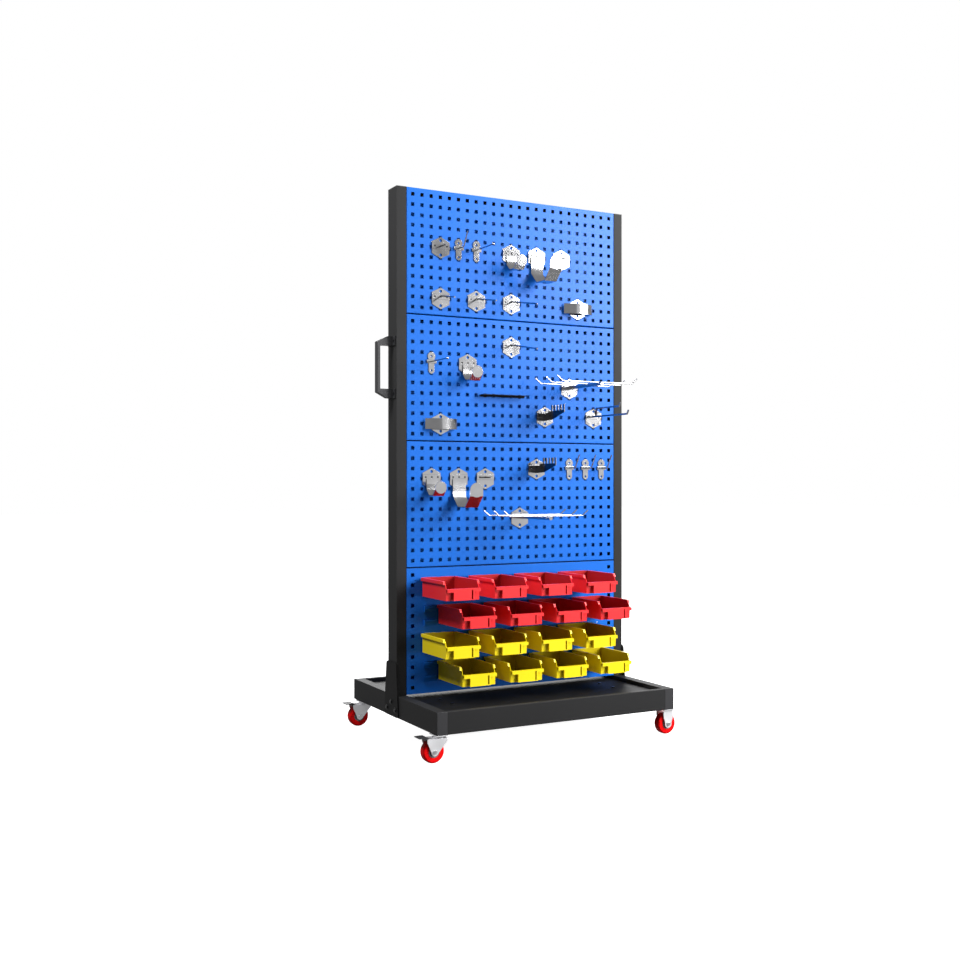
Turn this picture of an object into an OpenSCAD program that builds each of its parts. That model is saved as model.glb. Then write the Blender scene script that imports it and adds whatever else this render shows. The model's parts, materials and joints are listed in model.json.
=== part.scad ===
// Mobile pegboard tool rack with hanging bins.
// Millimetres, +Z up. The floor is z = 0, x = 0 is midway between the uprights,
// y = 0 is the middle plane of the uprights, and the bins face -Y.

/* [Peg panels] */
// Hole columns across a panel
hole_cols = 24; // [23:1:30]
// Hole rows down a panel
hole_rows = 12; // [12:1:14]
// Spacing of the holes
hole_pitch = 38; // [36:0.5:44]
// Side of each square hole
hole_size = 14; // [9:0.5:16]
// Panel edge to the middle of the first hole
hole_margin = 24.5; // [20:0.5:30]
// Thickness of the panel sheet
sheet_t = 1.5; // [1:0.1:2.5]
// Depth of the folded panel edges
fold_d = 18; // [14:1:24]
// Gap between stacked panels
panel_gap = 4.2; // [2:0.1:8]
// Gap between a panel and the upright beside it
panel_fit = 0.5; // [0.3:0.1:2]
// Gap under the lowest panel
panel_foot = 1.4; // [0.5:0.1:10]

/* [Frame] */
// Width of the uprights and side rails, seen from the front
tube_w = 40; // [36:1:60]
// Depth of the uprights
tube_d = 80; // [72:1:110]
// Wall of the steel tubes
tube_t = 2; // [1.5:0.1:3]
// Height of the base rails
rail_h = 80; // [70:1:110]
// Depth of the base, front to rear
base_d = 767; // [660:1:900]
// Depth of the front and rear rails
cross_rail_d = 20; // [16:1:40]
// Height of the tubes between the uprights
cross_tube_h = 30; // [20:1:40]
// Thickness of the tube caps
cap_t = 3; // [2:0.5:6]
// Depth of the plug on each tube cap
cap_plug = 10; // [6:1:20]
// Gap around each plug
cap_fit = 0.2; // [0.1:0.1:0.5]

/* [Tray] */
// Depth of the tray floor below the rail tops
tray_drop = 15; // [8:1:25]
// Thickness of the tray sheet
tray_t = 1.5; // [1:0.1:3]
// Gap between the tray and the rails
tray_fit = 0.3; // [0.2:0.1:2]
// Side of the square tubes under the tray
bearer_w = 30; // [20:1:40]
// Middle of the rack to each of those tubes
bearer_x = 352; // [250:1:420]
// Middle of the rack to the inner tray bolts
tray_bolt_inner = 100; // [70:1:140]
// Middle of the rack to the outer tray bolts
tray_bolt_outer = 197; // [160:1:280]
// Radius of the bolts in the frame
bolt_r = 4; // [3:0.5:5]
// Gap around each bolt in its hole
bolt_fit = 0.2; // [0.1:0.1:0.5]

/* [Side brackets] */
// Thickness of a side bracket
bracket_t = 5; // [3:0.5:8]
// Height of a side bracket
bracket_h = 200; // [150:1:260]
// Width of a bracket at its top
bracket_top_w = 90; // [80:1:120]
// Width of a bracket at its foot
bracket_foot_w = 126; // [112:1:170]
// Radius of the bracket corners
bracket_corner = 12; // [4:1:20]
// Bracket foot above the underside of the rails
bracket_lift = 2; // [1:0.5:10]
// Middle of the bracket to its two lower bolts
bracket_bolt_y = 38; // [30:1:45]
// Rail underside to the lower bolts
bracket_bolt_low = 28; // [22:1:32]
// Rail underside to the upper bolt
bracket_bolt_high = 54; // [44:1:60]

/* [Push handle] */
// Underside of the handle above the rail tops
handle_z = 1099; // [700:1:1300]
// Height of the handle
handle_h = 229; // [180:1:300]
// Reach of the handle from the upright
handle_reach = 64; // [50:1:90]
// Thickness of the grip bar
handle_bar = 10; // [8:0.5:20]
// Width of the handle, front to rear
handle_d = 28; // [20:1:40]
// Height of each arm
handle_arm = 34; // [26:1:45]
// Slope of the outer corners, along the arm
handle_slope_x = 40; // [20:1:45]
// Slope of the outer corners, along the grip
handle_slope_z = 21; // [10:1:30]
// Thickness of the foot flanges
flange_t = 4; // [3:0.5:6]
// Width of the foot flanges
flange_w = 64; // [56:1:70]
// Radius of the handle screws
screw_r = 2.5; // [2:0.5:3]

/* [Louvres] */
// Louvre columns
louvre_cols = 12; // [12:1:13]
// Louvre rows
louvre_rows = 8; // [7:1:8]
// Spacing of the columns
louvre_pitch_x = 66.2; // [62:0.1:68]
// Spacing of the rows
louvre_pitch_z = 52; // [48:0.5:54]
// Width of a louvre
louvre_w = 50; // [44:0.5:56]
// Height of a louvre
louvre_h = 25; // [20:0.5:30]
// How far a louvre stands out
louvre_out = 8; // [6:0.5:10]
// Panel top to the foot of the first row
louvre_drop = 62.9; // [50:0.1:70]
// Middle of the panel to the middle of the louvres
louvre_shift = -3; // [-6:0.5:6]

/* [Bins] */
// Width of a bin body
bin_w = 134; // [110:1:160]
// Height of a bin
bin_h = 70; // [55:1:75]
// Length of a bin floor
bin_floor_l = 197; // [150:1:250]
// Length of a bin along its top edge
bin_top_l = 183; // [130:1:190]
// Height of the front wall
bin_front_h = 43; // [30:1:48]
// Lean of the front wall
bin_front_lean = 2; // [1:0.5:10]
// Wall of a bin
bin_wall = 2.5; // [2:0.1:4]
// How far the top rim stands out
rim_out = 6; // [2:0.5:8]
// Height of the rim and the front lip
rim_h = 12; // [8:1:16]
// How far the front lip stands out
lip_out = 12; // [8:0.5:16]
// Width of the label plate
label_w = 84; // [60:1:100]
// Width of the label slot
label_slot = 6; // [3:0.5:10]
// Width of each hanging tab
tab_w = 44; // [30:0.5:44]
// Thickness of each hanging tab
tab_t = 3; // [2:0.1:4]
// Depth of each hanging tab
tab_h = 13; // [8:0.5:16]
// Gap between a bin and its louvres
bin_fit = 0.3; // [0.3:0.1:0.8]

/* [Casters] */
// Diameter of the wheels
wheel_d = 80; // [60:1:110]
// Width of the wheels
wheel_w = 32; // [24:1:40]
// Radius of the rounded tread shoulders
tread_r = 7; // [3:0.5:9]
// Radius of the hubs
hub_r = 20; // [18:0.5:28]
// Radius of the hub bosses
boss_r = 10; // [8:0.5:14]
// Radius of the axles
axle_r = 5; // [4:0.5:6]
// Running gap of the axles and kingpins, all round
run_fit = 0.05; // [0.02:0.01:0.1]
// Gap between a wheel and its fork plates
wheel_gap = 5; // [3:0.5:8]
// Gap between the tread and the fork web
tread_gap = 3; // [2:0.5:15]
// Thickness of the fork plates
fork_t = 3; // [2:0.5:4]
// Height of each swivel race
race_h = 3.4; // [2.5:0.1:5]
// Gap between the two races
race_gap = 0.3; // [0.3:0.1:0.6]
// Radius of the swivel races
race_r = 18; // [14:0.5:20]
// Radius of the kingpin
kingpin_r = 5; // [4:0.5:6]
// Swivel axis to the wheel axle
trail = 25; // [24:1:36]
// Length of a caster plate, along the rail
plate_l = 60; // [58:1:80]
// Width of a caster plate
plate_w = 44; // [40:1:56]
// Spacing of the plate bolts along the rail
plate_bolt_l = 46; // [45:0.5:50]
// Spacing of the plate bolts across the rail
plate_bolt_w = 26; // [24:0.5:28]
// Radius of the plate bolts
plate_bolt_r = 3; // [2.5:0.5:3]
// Front end of the side rail to a front caster's middle
front_inset = 30.5; // [30.5:0.5:60]
// Rear end of the side rail to a rear caster's middle
rear_inset = 54; // [30.5:0.5:80]
// Length of a brake pedal beyond its pivot
pedal_l = 38; // [30:1:80]
// Width of a brake pedal
pedal_w = 44; // [30:1:56]
// Radius of the pedal pivot
pivot_r = 2.5; // [2:0.5:3]

/* [Hooks and holders] */
// Width of a six-sided hook plate
plate_wide = 74; // [60:1:74]
// Height of the hook plates
plate_high = 81; // [70:1:81]
// Thickness of the hook plates
hook_plate_t = 3; // [2:0.5:4]
// Height of the raised band on a hook plate
band_h = 20; // [14:1:24]
// How far the band stands out
band_out = 2; // [1:0.5:3]
// Radius of the dimples in the band
band_hole_r = 3.5; // [2:0.5:5]
// Middle of the band to its outer dimples
band_hole_x = 25; // [18:1:26]
// Height of a hook rod above its hole
rod_up = 5; // [0:0.5:8]
// Radius of the single hook rods
rod_r = 3; // [2:0.5:5]
// Lengths of the single hooks, from the panel
single_reach = [120, 160, 200, 200]; // [80:1:260]
// Downward slope of the single hooks
single_fall = 10; // [0:0.5:15]
// Length of the short hooks, from the panel
short_reach = 50; // [30:1:80]
// Length of the straight rod hooks, from the panel
rod_reach = 138; // [90:1:180]
// Radius of the ball on a straight rod hook
ball_r = 4.5; // [4:0.5:7]
// Radius of the ring hook wire
ring_wire_r = 2.5; // [2:0.25:3.5]
// Level reach of a ring hook
ring_reach = 45; // [30:1:60]
// Length of its upturned end
ring_tip = 60; // [30:1:80]
// Angle of its upturned end
ring_angle = 59; // [30:1:80]
// Thickness of the pipe holder straps
strap_t = 2.5; // [2:0.1:4]
// Width of the small straps
small_strap_w = 45; // [30:1:60]
// Depth of a small holder down to its slopes
small_drop = 40; // [34:1:50]
// Run and fall of its slopes
small_slope = 24; // [16:1:30]
// Length of its floor
small_floor = 31; // [20:1:45]
// Height of its tip above the slopes
small_tip = 30; // [25:1:40]
// Width of the large straps
large_strap_w = 54; // [40:1:70]
// Depth of a large holder down to its slopes
large_drop = 65; // [55:1:80]
// Run and fall of its slopes
large_slope = 42; // [30:1:50]
// Length of its floor
large_floor = 60; // [40:1:75]
// Height of its tip above the slopes
large_tip = 50; // [40:1:60]
// Radius of the shelf wires
shelf_wire_r = 2.5; // [2:0.25:4]
// Length of the shelf wires between their bends
shelf_w = 317; // [250:1:400]
// Radius of the shelf support arms
shelf_arm_r = 7.5; // [5:0.5:10]
// Reach of the shelf support arms
shelf_reach = 235; // [220:1:300]
// Radius of the double hook prongs
prong_r = 3.5; // [2.5:0.5:4]
// Height of a curved strip loop
loop_h = 40; // [25:1:50]
// Width of a curved strip loop
loop_w = 133; // [100:1:160]
// Length of the holed strip
strip_l = 195; // [190:1:240]
// Holes in the holed strip
strip_holes = 8; // [4:1:8]
// Spacing of the strip's holes
strip_pitch = 23.5; // [20:0.5:23.5]
// Radius of the strip's holes
strip_hole_r = 6.5; // [4:0.5:8]

/* [Hidden] */
$fn = 48;
sides = [-1, 1];
panel_count = 4;
bin_panel = panel_count - 1;

panel_w = 2 * hole_margin + (hole_cols - 1) * hole_pitch;
panel_h = 2 * hole_margin + (hole_rows - 1) * hole_pitch;
inner_x = panel_w / 2 + panel_fit;
post_x = inner_x + tube_w / 2;
rack_x = inner_x + tube_w;
front_y = -tube_d / 2;

// Heights, from the floor up
axle_z = wheel_d / 2;
web_z = wheel_d + tread_gap;
race_z = web_z + fork_t;
caster_plate_z = race_z + 2 * race_h + race_gap;
base_z = caster_plate_z + fork_t;
rail_top = base_z + rail_h;
tray_z = rail_top - tray_drop;
rack_top = rail_top + panel_foot + panel_count * panel_h + (panel_count - 1) * panel_gap;

// Bins
bin_back = louvre_out + bin_fit;
bin_floor_end = bin_back + bin_floor_l;
bin_lip_end = bin_floor_end + bin_front_lean;
bin_top_end = bin_back + bin_top_l;
bin_rows = 4;
bin_cols = 4;
row_letter = ["a", "b", "c", "d"];

// Casters
wheel_x = post_x + trail;
fork_in = wheel_w / 2 + wheel_gap;
fork_out = fork_in + fork_t;
pivot_x = trail + 20;
pivot_z = race_z - 4;
plate_head_r = plate_bolt_r + 2;
plate_head_h = 3;

// Hooks and holders: panel from the top, hole column, hole row
single_at = [[0, 3, 10], [0, 7, 10], [0, 11, 10], [1, 11, 2]];
short_at = [[0, 3, 5], [0, 17, 5], [2, 8, 3]];
rod_at = [[0, 7, 5], [1, 2, 4]];
ring_at = [[0, 5, 5], [2, 18, 2], [2, 20, 2], [2, 22, 2]];
small_pipe_at = [[0, 11, 5], [1, 6, 4], [2, 2, 3]];
large_pipe_at = [[0, 14, 5], [2, 5, 3]];
shelf_at = [[1, 18, 6], [2, 12, 7]];
loop_at = [[0, 19, 10], [1, 3, 10]];
comb_at = [[1, 15, 9], [2, 14, 2]];
prong_at = [1, 21, 9];
strip_at = [1, 10, 7];
strip_lug_cols = 2;
rod_z = rod_up;
single_z = rod_up + 5;
band_front = hook_plate_t + band_out;
shelf_wires = [46, 126, 205];
lug = hole_size - 1;

blue = [0.17, 0.43, 0.85];
charcoal = [0.19, 0.19, 0.2];
black = [0.06, 0.06, 0.07];
zinc = [0.68, 0.7, 0.72];
bright = [0.82, 0.83, 0.85];
red = [0.85, 0.1, 0.1];
yellow = [0.95, 0.82, 0.06];
grey = [0.3, 0.31, 0.33];

// Places

function panel_top(n) = rack_top - n * (panel_h + panel_gap);
function caster_y(side) = side * base_d / 2 - side * (side < 0 ? front_inset : rear_inset);
function hole_x(col) = (col - (hole_cols - 1) / 2) * hole_pitch;
function hole_z(n, row) = panel_top(n) - hole_margin - row * hole_pitch;
function louvre_x(i) = louvre_shift + (i - (louvre_cols - 1) / 2) * louvre_pitch_x;
function louvre_z(n, k) = panel_top(n) - louvre_drop - k * louvre_pitch_z;
function bin_name(row, col) = str("bin_", row_letter[row], col + 1);
function bin_x(row, col) = louvre_x(3 * col + row % 2) + louvre_pitch_x / 2;
function bin_z(row) = louvre_z(bin_panel, 2 * row) + louvre_h + bin_fit + tab_t - bin_h;
function bin_edge(z) = bin_lip_end + (bin_top_end - bin_lip_end) * (z - bin_front_h) / (bin_h - bin_front_h);
function cross_tube_z() = concat(
    [rack_top - cap_t - cross_tube_h / 2],
    [for (n = [1 : panel_count - 1]) panel_top(n) + panel_gap / 2],
    [panel_top(bin_panel) - panel_h + cross_tube_h / 2]);

// Outlines

function ahead(points) = [for (p = points) [-p[0], p[1]]];
function unit(v) = v / norm(v);
function beside(a, b) = let (u = unit(b - a)) [-u[1], u[0]];
function mitre(p, i, t) =
    i == 0 ? p[0] + t * beside(p[0], p[1]) :
    i == len(p) - 1 ? p[i] + t * beside(p[i - 1], p[i]) :
    let (a = beside(p[i - 1], p[i]), b = beside(p[i], p[i + 1])) p[i] + t * (a + b) / (1 + a * b);
function strap(p, t) = concat(p, [for (i = [len(p) - 1 : -1 : 0]) mitre(p, i, t)]);

// An outline in (y, z), w wide in x
module x_prism(points, w) {
    translate([-w / 2, 0, 0])
        rotate([90, 0, 90])
            linear_extrude(w)
                polygon(points);
}

// Flat shapes in (x, z), drawn from y = 0 to y = -t
module ahead_of_panel(t) {
    rotate([90, 0, 0])
        linear_extrude(t)
            children();
}

module box(lo, hi) {
    translate(lo)
        cube(hi - lo);
}

// A rectangular tube, open along one axis
module tube(size, axis) {
    bore = [for (i = [0 : 2]) i == axis ? size[i] + 2 : size[i] - 2 * tube_t];
    difference() {
        cube(size, center = true);
        cube(bore, center = true);
    }
}

// A round rod from a to b
module rod(a, b, r) {
    v = b - a;
    translate(a)
        rotate([0, acos(v[2] / norm(v)), atan2(v[1], v[0])])
            cylinder(r = r, h = norm(v));
}

// A bent wire with rounded bends
module wire(points, r) {
    for (i = [0 : len(points) - 2])
        rod(points[i], points[i + 1], r);
    for (i = [1 : len(points) - 2])
        translate(points[i])
            sphere(r = 1.03 * r);
}

// A bolt whose head rests on z = 0 and whose shank points down
module bolt(r, shank, head_r, head_h, corners) {
    cylinder(r = head_r, h = head_h, $fn = corners);
    translate([0, 0, -shank])
        cylinder(r = r, h = shank + head_h / 2);
}

// Base and frame

module bracket_bolt_places() {
    for (s = sides)
        translate([0, s * bracket_bolt_y, base_z + bracket_bolt_low])
            children();
    translate([0, 0, base_z + bracket_bolt_high])
        children();
}

module plate_bolt_places() {
    for (sx = sides, sy = sides)
        translate([sx * plate_bolt_w / 2, sy * plate_bolt_l / 2, 0])
            children();
}

module caster_places() {
    for (sx = sides, sy = sides)
        translate([sx * post_x, caster_y(sy), 0])
            children();
}

module tray_bolt_places() {
    for (sx = sides, sy = sides, y = [tray_bolt_inner, tray_bolt_outer])
        translate([sx * bearer_x, sy * y, tray_z])
            children();
}

module handle_screw_places() {
    for (z = [handle_arm / 2, handle_h - handle_arm / 2], sy = sides)
        translate([-rack_x - flange_t, sy * (handle_d + flange_w) / 4, rail_top + handle_z + z])
            rotate([0, -90, 0])
                children();
}

module base_side_rails() {
    color(charcoal)
        difference() {
            for (s = sides)
                translate([s * post_x, 0, base_z + rail_h / 2])
                    tube([tube_w, base_d - 2 * cap_t, rail_h], 1);
            for (s = sides)
                bracket_bolt_places()
                    translate([s * rack_x, 0, 0])
                        rotate([0, 90, 0])
                            cylinder(r = bolt_r + bolt_fit, h = 4 * tube_t, center = true);
            caster_places()
                plate_bolt_places()
                    translate([0, 0, base_z])
                        cylinder(r = plate_bolt_r + bolt_fit, h = 4 * tube_t, center = true);
        }
}

module base_cross_rails() {
    color(charcoal)
        for (s = sides)
            translate([0, s * (base_d - cross_rail_d) / 2, base_z + rail_h / 2])
                tube([2 * inner_x, cross_rail_d, rail_h], 0);
}

module tray_bearers() {
    color(charcoal)
        difference() {
            for (s = sides)
                translate([s * bearer_x, 0, tray_z - tray_t - bearer_w / 2])
                    tube([bearer_w, base_d - 2 * cross_rail_d, bearer_w], 1);
            tray_bolt_places()
                translate([0, 0, -tray_t])
                    cylinder(r = bolt_r + bolt_fit, h = 4 * tube_t, center = true);
        }
}

// The tray floor, between the rails
module tray_sheet() {
    tray_x = inner_x - tray_fit;
    tray_y = base_d / 2 - cross_rail_d - tray_fit;
    color(black)
        difference() {
            box([-tray_x, -tray_y, tray_z - tray_t], [tray_x, tray_y, tray_z]);
            tray_bolt_places()
                cylinder(r = bolt_r + bolt_fit, h = 4 * tray_t, center = true);
        }
}

module uprights() {
    post_h = rack_top - cap_t - rail_top;
    color(charcoal)
        difference() {
            for (s = sides)
                translate([s * post_x, 0, rail_top + post_h / 2])
                    tube([tube_w, tube_d, post_h], 2);
            handle_screw_places()
                cylinder(r = screw_r + bolt_fit, h = 4 * (flange_t + tube_t), center = true);
        }
}

// A plastic cap for a tube end: the plate above z = 0 and the plug below it
module tube_cap(w, d) {
    plug = [w - 2 * (tube_t + cap_fit), d - 2 * (tube_t + cap_fit)];
    translate([-w / 2, -d / 2, 0])
        cube([w, d, cap_t]);
    translate([-plug[0] / 2, -plug[1] / 2, -cap_plug])
        cube([plug[0], plug[1], cap_plug + cap_t / 2]);
}

module tube_caps() {
    color(black) {
        for (s = sides)
            translate([s * post_x, 0, rack_top - cap_t])
                tube_cap(tube_w, tube_d);
        for (sx = sides, sy = sides)
            translate([sx * post_x, sy * (base_d / 2 - cap_t), base_z + rail_h / 2])
                rotate([-90 * sy, 0, 0])
                    tube_cap(tube_w, rail_h);
    }
}

// A four-sided outline with round corners of one radius
module rounded_quad(corners, r) {
    n = len(corners);
    polygon([for (i = [0 : n - 1])
        let (here = corners[i],
             u = unit(corners[(i + n - 1) % n] - here),
             v = unit(corners[(i + 1) % n] - here),
             half = acos(u * v) / 2,
             middle = here + unit(u + v) * r / sin(half),
             from = here + u * r / tan(half) - middle,
             to = here + v * r / tan(half) - middle,
             steps = 6)
            for (k = [0 : steps]) middle + r * unit(from * (1 - k / steps) + to * (k / steps))]);
}

module side_brackets() {
    foot = base_z + bracket_lift;
    outline = [[-bracket_foot_w / 2, foot], [bracket_foot_w / 2, foot],
               [bracket_top_w / 2, foot + bracket_h], [-bracket_top_w / 2, foot + bracket_h]];
    color(black)
        difference() {
            for (s = sides)
                translate([s * (rack_x + bracket_t / 2) - bracket_t / 2, 0, 0])
                    rotate([90, 0, 90])
                        linear_extrude(bracket_t)
                            rounded_quad(outline, bracket_corner);
            for (s = sides)
                bracket_bolt_places()
                    translate([s * rack_x, 0, 0])
                        rotate([0, 90, 0])
                            cylinder(r = bolt_r + bolt_fit, h = 4 * bracket_t, center = true);
        }
}

module cross_tubes() {
    color(charcoal)
        for (z = cross_tube_z())
            translate([0, 0, z])
                tube([2 * inner_x, tube_d - 2 * fold_d, cross_tube_h], 0);
}

// The folded edge round a panel, standing on its lower left corner
module panel_folds() {
    difference() {
        square([panel_w, panel_h]);
        translate([sheet_t, sheet_t])
            square([panel_w - 2 * sheet_t, panel_h - 2 * sheet_t]);
    }
}

// A panel with holes in the columns given, front face towards -Y
module pierced_panel(n, cols) {
    translate([-panel_w / 2, front_y, panel_top(n) - panel_h]) {
        translate([0, sheet_t, 0])
            ahead_of_panel(sheet_t)
                difference() {
                    square([panel_w, panel_h]);
                    for (col = cols, row = [0 : hole_rows - 1])
                        translate([hole_margin + col * hole_pitch, hole_margin + row * hole_pitch])
                            square(hole_size, center = true);
                }
        translate([0, fold_d, 0])
            ahead_of_panel(fold_d)
                panel_folds();
    }
}

module peg_panel(n) {
    color(blue)
        pierced_panel(n, [0 : hole_cols - 1]);
}

// A pressed louvre, open along its top edge
module louvre() {
    x_prism(ahead([[-sheet_t / 2, 0], [0, 0], [louvre_out, louvre_out], [louvre_out, louvre_h],
                   [-sheet_t / 2, louvre_h]]), louvre_w);
}

// The space inside a louvre, through the sheet
module louvre_pocket() {
    face = louvre_out - sheet_t;
    top = louvre_h + 0.5;
    x_prism(ahead([[-2 * sheet_t, sheet_t], [0, 1.4 * sheet_t], [face, face + 1.4 * sheet_t], [face, top],
                   [-2 * sheet_t, top]]), louvre_w - 2 * sheet_t);
}

module louvre_places(n) {
    for (i = [0 : louvre_cols - 1], k = [0 : louvre_rows - 1])
        translate([louvre_x(i), front_y, louvre_z(n, k)])
            children();
}

// A panel of louvres with a column of holes at each side
module louvre_panel(n) {
    color(blue)
        difference() {
            union() {
                pierced_panel(n, [0, hole_cols - 1]);
                louvre_places(n)
                    louvre();
            }
            louvre_places(n)
                louvre_pocket();
        }
}

// Three plain panels and a louvred one, behind the front panels
module rear_panels() {
    mirror([0, 1, 0]) {
        color(blue)
            for (n = [0 : bin_panel - 1])
                pierced_panel(n, []);
        louvre_panel(bin_panel);
    }
}

module push_handle() {
    low = rail_top + handle_z;
    high = low + handle_h;
    slope = handle_reach - handle_slope_x;
    color(black)
        difference() {
            union() {
                translate([-rack_x, handle_d / 2, 0])
                    ahead_of_panel(handle_d)
                        difference() {
                            polygon([[0, low], [0, high], [-slope, high],
                                     [-handle_reach, high - handle_slope_z],
                                     [-handle_reach, low + handle_slope_z], [-slope, low]]);
                            translate([handle_bar - handle_reach, low + handle_arm])
                                square([handle_reach, handle_h - 2 * handle_arm]);
                        }
                for (z = [low, high - handle_arm])
                    box([-rack_x - flange_t, -flange_w / 2, z], [-rack_x, flange_w / 2, z + handle_arm]);
            }
            handle_screw_places()
                cylinder(r = screw_r + bolt_fit, h = 4 * (flange_t + tube_t), center = true);
        }
}

module frame_bolts() {
    color(black) {
        for (s = sides)
            bracket_bolt_places()
                translate([s * (rack_x + bracket_t), 0, 0])
                    rotate([0, 90 * s, 0])
                        bolt(bolt_r, bracket_t + 6 * tube_t, 2 * bolt_r, 1.3 * bolt_r, 6);
        tray_bolt_places()
            bolt(bolt_r, tray_t + 5 * tube_t, 1.9 * bolt_r, bolt_r, 48);
        handle_screw_places()
            bolt(screw_r, flange_t + 4 * tube_t, 1.8 * screw_r, screw_r, 48);
    }
}

// Casters

// Place at a caster's swivel axis: side -1 is the front pair, 1 the rear
module left_caster(side) {
    translate([-post_x, caster_y(side), 0])
        children();
}

module swivel_plates() {
    head_gap = 0.4;
    head_h = 4;
    color(zinc)
        for (side = sides)
            left_caster(side)
                difference() {
                    union() {
                        box([-plate_w / 2, -plate_l / 2, caster_plate_z], [plate_w / 2, plate_l / 2, base_z]);
                        translate([0, 0, caster_plate_z - race_h])
                            cylinder(r = race_r, h = race_h + fork_t / 2);
                        translate([0, 0, web_z - head_gap - head_h / 2])
                            cylinder(r = kingpin_r, h = caster_plate_z - web_z + head_gap + head_h / 2);
                        translate([0, 0, web_z - head_gap - head_h])
                            cylinder(r = kingpin_r + 3, h = head_h);
                    }
                    plate_bolt_places()
                        translate([0, 0, base_z])
                            cylinder(r = plate_bolt_r + bolt_fit, h = 4 * fork_t, center = true);
                }
}

// Both side plates of a fork, from an outline in (x, z)
module fork_plates() {
    for (s = sides)
        translate([0, s > 0 ? fork_out : -fork_in, 0])
            ahead_of_panel(fork_t)
                children();
}

module axle_hole(x) {
    translate([x, 0, axle_z])
        rotate([90, 0, 0])
            cylinder(r = axle_r + run_fit, h = 4 * fork_out, center = true);
}

module swivel_fork(side) {
    eye = 13;
    rear = plate_w / 2;
    color(zinc)
        left_caster(side)
            difference() {
                union() {
                    box([-trail - eye, -fork_in - fork_t / 2, web_z], [rear, fork_in + fork_t / 2, race_z]);
                    translate([0, 0, web_z])
                        cylinder(r = race_r, h = fork_t + race_h);
                    fork_plates() {
                        polygon([[rear, race_z], [rear, race_z - 10],
                                 [-trail + 0.8 * eye, axle_z - 0.6 * eye], [-trail - eye, axle_z],
                                 [-pivot_x - 8, pivot_z - 8], [-pivot_x - 8, race_z]]);
                        translate([-trail, axle_z])
                            circle(r = eye);
                    }
                    translate([-pivot_x, 0, pivot_z])
                        rotate([90, 0, 0])
                            cylinder(r = pivot_r, h = 2 * fork_in + fork_t, center = true);
                }
                translate([0, 0, web_z - 1])
                    cylinder(r = kingpin_r + run_fit, h = fork_t + race_h + 2);
                axle_hole(-trail);
                pedal_window();
            }
}

// The space in the fork web round the pedal's pivot eye
module pedal_window() {
    difference() {
        box([-pivot_x - 20, -fork_in, web_z - 1], [-pivot_x + 8, fork_in, race_z + 1]);
        translate([-pivot_x, 0, pivot_z])
            rotate([90, 0, 0])
                cylinder(r = pivot_r, h = 4 * fork_out, center = true);
    }
}

module axle() {
    head = 4;
    rotate([90, 0, 0])
        cylinder(r = axle_r, h = 2 * fork_out, center = true);
    for (s = sides)
        rotate([s * 90, 0, 0])
            translate([0, 0, fork_out])
                cylinder(r = axle_r + 2.5, h = head, $fn = 6);
}

module swivel_axle(side) {
    color(bright)
        translate([-wheel_x, caster_y(side), axle_z])
            axle();
}

module rigid_axles() {
    color(bright)
        for (side = sides)
            translate([post_x, caster_y(side), axle_z])
                axle();
}

// A cranked flat pedal on an eye round the fork's pivot
module brake_pedal(side) {
    eye = pivot_r + 2.2;
    arm_w = 2 * (fork_in - 1.5);
    neck = 14;
    pad_up = 10;
    outline = [[0, eye], [-8, pad_up + 2], [-pedal_l, pad_up + 1], [-pedal_l, pad_up - 2],
               [-15, pad_up - 3], [-8, -3], [0, -eye]];
    color(black)
        left_caster(side)
            translate([-pivot_x, 0, pivot_z])
                difference() {
                    union() {
                        rotate([90, 0, 0])
                            cylinder(r = eye, h = arm_w, center = true);
                        translate([0, arm_w / 2, 0])
                            ahead_of_panel(arm_w)
                                polygon(outline);
                        translate([0, pedal_w / 2, 0])
                            ahead_of_panel(pedal_w)
                                intersection() {
                                    polygon(outline);
                                    translate([-2 * pedal_l, -pedal_l])
                                        square([2 * pedal_l - neck, 2 * pedal_l]);
                                }
                    }
                    rotate([90, 0, 0])
                        cylinder(r = pivot_r + run_fit, h = 2 * arm_w, center = true);
                }
}

module rigid_forks() {
    eye = 15;
    half = plate_w / 2;
    color(zinc)
        for (side = sides)
            translate([post_x, caster_y(side), 0])
                difference() {
                    union() {
                        box([-half, -plate_l / 2, caster_plate_z], [half, plate_l / 2, base_z]);
                        fork_plates() {
                            polygon([[-half, base_z - fork_t / 2], [half, base_z - fork_t / 2],
                                     [half, web_z - 14], [0.97 * eye, axle_z + 4],
                                     [-0.97 * eye, axle_z + 4], [-half, web_z - 14]]);
                            translate([0, axle_z])
                                circle(r = eye);
                        }
                    }
                    plate_bolt_places()
                        translate([0, 0, base_z])
                            cylinder(r = plate_bolt_r + bolt_fit, h = 4 * fork_t, center = true);
                    plate_bolt_places()
                        translate([0, 0, caster_plate_z - plate_head_h - 1])
                            cylinder(r = plate_head_r + 0.5, h = plate_head_h + 1);
                    axle_hole(0);
                }
}

module caster_bolts() {
    color(bright)
        caster_places()
            plate_bolt_places()
                translate([0, 0, caster_plate_z])
                    rotate([180, 0, 0])
                        bolt(plate_bolt_r, fork_t + tube_t, plate_head_r, plate_head_h, 6);
}

// A wheel's place: its axle turns about y
module wheel_place(sx, sy) {
    translate([sx < 0 ? -wheel_x : post_x, caster_y(sy), axle_z])
        rotate([90, 0, 0])
            children();
}

module tyre(sx, sy) {
    edge = wheel_w / 2 - tread_r;
    tread = wheel_d / 2 - tread_r;
    color(red)
        wheel_place(sx, sy)
            rotate_extrude($fn = 96) {
                translate([hub_r, -wheel_w / 2])
                    square([tread - hub_r, wheel_w]);
                translate([hub_r, -edge])
                    square([wheel_d / 2 - hub_r, 2 * edge]);
                for (s = sides)
                    translate([tread, s * edge])
                        circle(r = tread_r);
            }
}

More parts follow.
